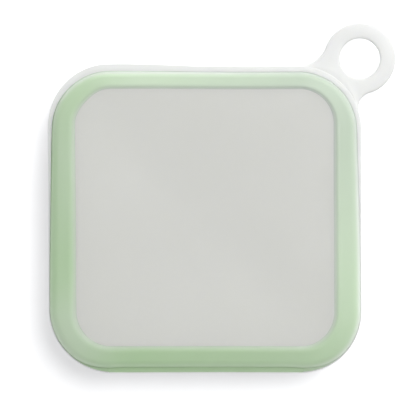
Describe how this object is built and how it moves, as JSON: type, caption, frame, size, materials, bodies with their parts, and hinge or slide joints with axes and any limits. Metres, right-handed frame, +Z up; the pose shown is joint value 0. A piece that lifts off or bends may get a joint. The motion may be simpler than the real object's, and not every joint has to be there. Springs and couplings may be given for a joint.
{
  "type": "silicone sandwich case",
  "caption": "Flat square silicone food case: translucent tray with a corner ring tab, and a hinged lid with a soft green frame round a frosted window.",
  "frame": {"origin": "centre of the tray's flat underside, which rests on the table; in plan it is the centre of the flange without the ring tab", "axes": "+Z up out of the window, +Y to the back away from the hinge, +X to the right; the ring tab is at the +X +Y corner and the hinge lies along the front, towards -Y"},
  "size_m": [0.1722, 0.1737, 0.036],
  "materials": {
    "clear_silicone": "translucent milky white, satin",
    "green_silicone": "soft sage green, slightly translucent, satin",
    "frosted_silicone": "frosted, translucent"
  },
  "bodies": {
    "base": {"base_tray": "clear_silicone", "hinge_web": "green_silicone"},
    "lid": {"lid_frame": "green_silicone", "lid_window": "frosted_silicone"}
  },
  "joints": [
    {"name": "lid_hinge", "type": "hinge", "parent": "base", "child": "lid", "pos_m": [0, -0.0753, 0.027], "axis": [1, 0, 0], "range_deg": [0, 180], "deforming": ["hinge_web"]}
  ]
}
